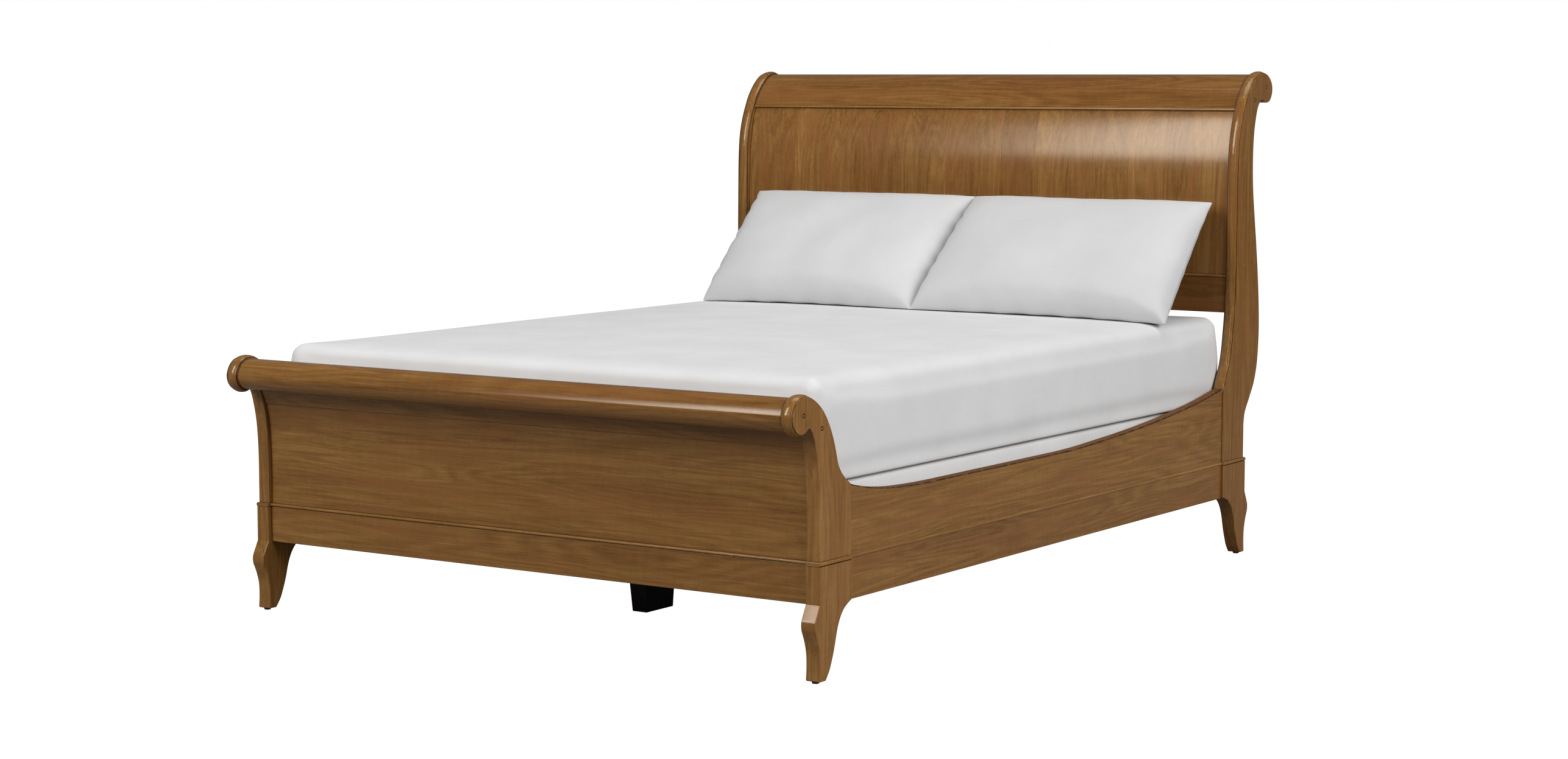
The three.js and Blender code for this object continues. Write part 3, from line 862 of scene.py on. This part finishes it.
def inflate(piece, pressure, frames, cap, stiffness, bending):
    # swells the piece as cloth, then holds every point within the cap of where it started
    scene = bpy.context.scene
    start = [v.co.copy() for v in piece.data.vertices]
    pick(piece)
    cloth = piece.modifiers.new("swell", "CLOTH")
    settings = cloth.settings
    settings.quality = 5
    settings.mass = 0.35
    settings.tension_stiffness = stiffness
    settings.compression_stiffness = stiffness
    settings.shear_stiffness = stiffness / 3
    settings.bending_stiffness = bending
    settings.air_damping = 2.0
    settings.use_pressure = True
    settings.uniform_pressure_force = pressure
    settings.effector_weights.gravity = 0
    cloth.point_cache.frame_start = 1
    cloth.point_cache.frame_end = frames
    for step in range(1, frames + 1):
        scene.frame_set(step)
    bpy.ops.object.modifier_apply(modifier=cloth.name)
    scene.frame_set(1)
    for vertex, before in zip(piece.data.vertices, start):
        moved = vertex.co - before
        if moved.length > cap:
            vertex.co = before + moved.normalized() * cap


def smoothFinish(piece):
    pick(piece)
    soften = piece.modifiers.new("soften", "SUBSURF")
    soften.levels = 1
    soften.render_levels = 1
    bpy.ops.object.modifier_apply(modifier=soften.name)
    bpy.ops.object.shade_smooth()


def remeshed(piece, voxel):
    pick(piece)
    piece.data.remesh_voxel_size = voxel * mm
    piece.data.remesh_voxel_adaptivity = 0
    bpy.ops.object.voxel_remesh()


mattressWork = {
    "inset": (3, 3, 1),     # mm inside the space it holds, before it swells
    "corner": 34,
    "topEdge": 100,
    "bottomEdge": 6,
    "voxel": 14,
    "pressure": 3.0,
    "frames": 10,
    "cap": 3,
    "stiffness": 12,
    "crown": 9,             # how much higher the middle is
    "bulge": 7,             # how far the sides belly out between top and bottom
    "tuck": 6,              # how far the lower edge draws in
    "wave": 1.0,            # soft hollows and swells that a fitted cover shows
    "ripple": 1.2,
    "overhang": (3.5, 3.0, 2.0),   # most it may stand out, across, at the head and at the foot
}
foundationWork = {
    "inset": (2, 3, 0),
    "corner": 26,
    "edge": 3,
    "voxel": 14,
    "pressure": 2.0,
    "frames": 8,
    "cap": 3,
    "stiffness": 15,
}


def roundedBox(name, low, high, corner, topEdge, bottomEdge):
    size = high - low
    bpy.ops.object.select_all(action="DESELECT")
    bpy.ops.mesh.primitive_cube_add(size=1, location=(low + high) / 2, scale=size)
    box = bpy.context.object
    box.name = name
    bpy.ops.object.transform_apply(location=True, rotation=True, scale=True)

    def upright(middle, edge):
        return abs(edge.verts[0].co.z - edge.verts[1].co.z) > size.z / 2

    easeEdges(box, corner, 8, upright)
    easeEdges(box, topEdge, 8, lambda middle, edge: middle.z > high.z - 0.1 * mm)
    easeEdges(box, bottomEdge, 6, lambda middle, edge: middle.z < low.z + 0.1 * mm)
    return box


def addMattress():
    m = mattressWork
    low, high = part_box("mattress")
    inset = Vector(m["inset"]) * mm
    piece = roundedBox("mattressCover", low + inset, high - inset, m["corner"], m["topEdge"], m["bottomEdge"])
    remeshed(piece, m["voxel"])
    inflate(piece, m["pressure"], m["frames"], m["cap"] * mm, m["stiffness"], 3)
    dressMattress(piece, low, high)
    smoothFinish(piece)
    piece.data.materials.append(mattressCotton)
    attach(piece, "mattress")
    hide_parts("mattress")


def dressMattress(piece, low, high):
    m = mattressWork
    middle = (low + high) / 2
    half = (high - low) / 2
    across, head, foot = (amount * mm for amount in m["overhang"])
    for vertex in piece.data.vertices:
        p = vertex.co
        u = (p.x - middle.x) / half.x
        v = (p.y - middle.y) / half.y
        wave = noise.noise(Vector((p.x * 1.4, p.y * 1.1, p.z * 2.5))) * m["wave"] * mm
        fine = noise.noise(Vector((p.x * 5 + 3, p.y * 4, p.z * 5))) * m["ripple"] * mm
        if p.z > middle.z and abs(u) < 0.96 and abs(v) < 0.97:
            p.z += wave + fine * 0.5 + m["crown"] * mm * (1 - abs(u) ** 3) * (1 - abs(v) ** 4)
        # the sides belly out, and the lower edge tucks in under the cover's elastic
        level = (p.z - low.z) / (high.z - low.z)
        belly = m["bulge"] * math.sin(math.pi * min(1.0, level * 1.15)) if level < 0.87 else 0
        out = (belly - m["tuck"] * max(0.0, 1 - level / 0.5) ** 1.6) * mm + fine * 0.4
        p.x += math.copysign(out, u) if abs(u) > 0.88 else 0
        p.y += math.copysign(out, v) if abs(v) > 0.91 else 0
        p.z = max(p.z, low.z + 0.5 * mm)
        p.x = min(max(p.x, low.x - across), high.x + across)
        p.y = min(max(p.y, low.y - foot), high.y + head)


def addFoundation():
    f = foundationWork
    low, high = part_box("foundation")
    inset = Vector(f["inset"]) * mm
    piece = roundedBox("foundationCover", low + inset, high - inset, f["corner"], f["edge"], f["edge"])
    remeshed(piece, f["voxel"])
    inflate(piece, f["pressure"], f["frames"], f["cap"] * mm, f["stiffness"], 3)
    for vertex in piece.data.vertices:
        vertex.co.z = min(max(vertex.co.z, low.z + 0.3 * mm), high.z + 0.8 * mm)
    smoothFinish(piece)
    piece.data.materials.append(foundationCotton)
    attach(piece, "foundation")
    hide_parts("foundation")


pillowWork = {
    # middle, width, how much wider the lower edge is, and how each end is gathered
    # (phase, share, mm that it draws in at its middle)
    "left": (-359, 750, -0.025, (1.0, 1.0, 9), (4.0, 0.8, 1)),
    "right": (402, 793, 0.031, (4.0, 0.8, 1), (8.0, 0.25, 7)),
    "centre": (813, 836),    # of both, along the bed and up
    "deep": 468,
    "thick": 158,
    "seam": 4,           # the two sheets meet this thick
    "tilt": 43.7,
    "cells": (76, 48),
    "pullSide": 13,      # how far a side draws in between its corners
    "pressure": 3.0,
    "frames": 12,
    "cap": 5,
    "stiffness": 10,
    "pucker": 3.0,       # gathers along the seam
    "puckerPitch": 62,
    "lumps": 7,          # how uneven the filling is
    "slip": 0.16,        # share of the filling that has slipped down
}


def addPillow(side, seed):
    w = pillowWork
    node = f"pillow_{side}"
    bpy.ops.object.select_all(action="DESELECT")
    bpy.ops.mesh.primitive_grid_add(x_subdivisions=w["cells"][0], y_subdivisions=w["cells"][1], size=2)
    piece = bpy.context.object
    piece.name = f"pillow{side.capitalize()}Case"
    thicken = piece.modifiers.new("twoSheets", "SOLIDIFY")
    thicken.thickness = w["seam"] * mm
    thicken.offset = 0
    pick(piece)
    bpy.ops.object.modifier_apply(modifier=thicken.name)
    for vertex in piece.data.vertices:
        vertex.co = pillowPoint(vertex.co, seed, side)
    inflate(piece, w["pressure"], w["frames"], w["cap"] * mm, w["stiffness"], 0.4)
    settlePillow(piece, side)
    smoothFinish(piece)
    piece.data.materials.append(pillowCotton)
    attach(piece, node)
    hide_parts(node)


def pillowPoint(p, seed, side):
    # from the flat square to a filled case lying flat
    w = pillowWork
    _, wide, taper, *gathers = w[side]
    u = max(-1.0, min(1.0, p.x))
    v = max(-1.0, min(1.0, p.y))
    face = 1 if p.z > 0 else -1
    full = math.sqrt(max(0.0, 1 - abs(u) ** 3.4)) * math.sqrt(max(0.0, 1 - abs(v) ** 2.8))
    phase, share, pull = gathers[0 if u < 0 else 1]
    x = u * (wide / 2 * (1 - taper * v) - pull * (1 - v * v) * abs(u) ** 3)
    y = v * (w["deep"] / 2 - w["pullSide"] * (1 - u * u) * abs(v) ** 3)
    # gathers at the seam
    pitch = 2 * math.pi / w["puckerPitch"]
    gathered = abs(u) ** 14 * (1 - abs(v) ** 6) * share
    sides = abs(v) ** 14 * (1 - abs(u) ** 6)
    uneven = 1 + 0.5 * math.sin(y * pitch * 0.37 + phase)
    x += gathered * w["pucker"] * math.sin(y * pitch + phase * 2) * uneven
    y += sides * w["pucker"] * 0.5 * math.sin(x * pitch * 0.6 + seed)
    z = face * (w["seam"] / 2 + w["thick"] / 2 * full)
    z += full * noise.noise(Vector((u * 2.3 + seed, v * 1.9, seed * 3.1 + face))) * w["lumps"]
    return Vector((x, y, z)) * mm


def settlePillow(piece, side):
    # leans it on the headboard and rests its lower edge on the mattress
    w = pillowWork
    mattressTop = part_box("mattress")[1].z
    turn = Matrix.Rotation(math.radians(w["tilt"]), 4, "X")
    centre = Vector((w[side][0], *w["centre"])) * mm
    for vertex in piece.data.vertices:
        p = vertex.co
        v = p.y / (w["deep"] / 2 * mm)
        p.z *= 1 - w["slip"] * v
        p.xyz = turn @ p + centre
        crown = mattressWork["crown"] * (1 - min(1.0, abs(p.x) / 0.8) ** 3)
        low = mattressTop + (2 + crown) * mm
        if p.z < low:
            p.z = low - (low - p.z) * 0.02


mattressCotton = cotton("percaleMattress", "e2e2e2", "dadada", 2.2, 0.1)
foundationCotton = cotton("wovenTicking", "eaeaea", "e0e0e0", 3.0, 0.1)
pillowCotton = cotton("percalePillow", "d0d0d0", "c9c9c9", 2.0, 0.1)

addFoundation()
addMattress()
print("mattress and foundation are made")
addPillow("left", 1.0)
addPillow("right", 5.0)
print("pillows are made")
